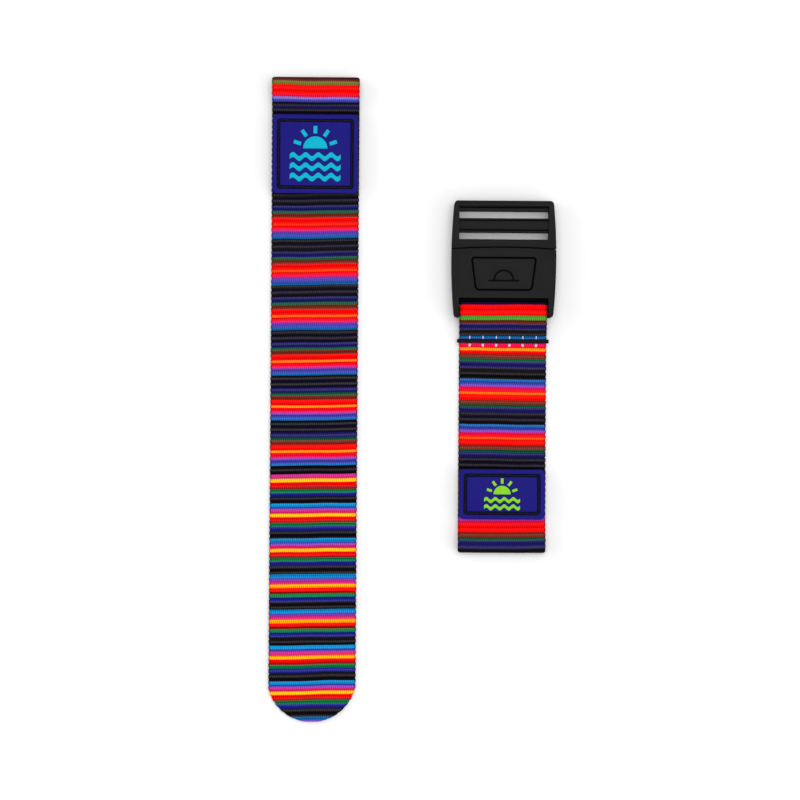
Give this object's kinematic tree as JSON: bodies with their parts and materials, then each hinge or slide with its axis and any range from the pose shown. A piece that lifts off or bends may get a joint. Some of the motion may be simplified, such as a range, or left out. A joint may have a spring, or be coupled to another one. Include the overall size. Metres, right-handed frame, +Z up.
{
  "type": "webbing watch strap with clip buckle",
  "caption": "Two-part striped webbing watch strap: a long tail with a rounded tip, and a short half with a moulded press-release clip and ladder slots.",
  "frame": {"origin": "bottom centre of the pair as it lies flat, face up", "axes": "+Y along the straps towards the tail half's lug loop, +Z up out of the face, X across the straps with the buckle half on +X"},
  "size_m": [0.065, 0.1474, 0.0052],
  "materials": {
    "striped_webbing": "ribbed woven polyester in coloured cross stripes",
    "patch_rubber": "satin moulded, deep blue",
    "cyan_rubber": "satin, cyan",
    "lime_rubber": "satin, lime green",
    "black_thread": "twisted polyester thread, black",
    "white_thread": "twisted polyester thread, white",
    "black_tape": "narrow black tape",
    "black_plastic": "fine spark-eroded grain"
  },
  "bodies": {
    "buckle_band": {"buckle_webbing": "striped_webbing", "buckle_patch": "patch_rubber", "buckle_motif": "lime_rubber", "buckle_patch_thread": "black_thread", "seam_binding": "black_tape", "seam_thread": "white_thread"},
    "socket": {"clip_socket": "black_plastic"},
    "plug": {"clip_plug": "black_plastic"},
    "button": {"release_button": "black_plastic"},
    "tail_band": {"tail_webbing": "striped_webbing", "tail_patch": "patch_rubber", "tail_motif": "cyan_rubber", "tail_patch_thread": "black_thread"}
  },
  "joints": [
    {"name": "buckle_tilt", "type": "hinge", "parent": "buckle_band", "child": "socket", "pos_m": [0.0206, 0.02034, 0.00231], "axis": [1, 0, 0], "range_deg": [0, 75]},
    {"name": "clip_slide", "type": "slide", "parent": "socket", "child": "plug", "axis": [0, 1, 0], "range_m": [0, 0.012]},
    {"name": "button_press", "type": "hinge", "parent": "plug", "child": "button", "pos_m": [0.0206, 0.02483, 0.00312], "axis": [-1, 0, 0], "range_deg": [0, 10], "stiffness_Nm_per_rad": 0.2, "deforming": ["release_button"]},
    {"name": "tail_lift", "type": "slide", "parent": "buckle_band", "child": "tail_band", "axis": [0, 0, 1], "range_m": [0, 0.06]}
  ]
}
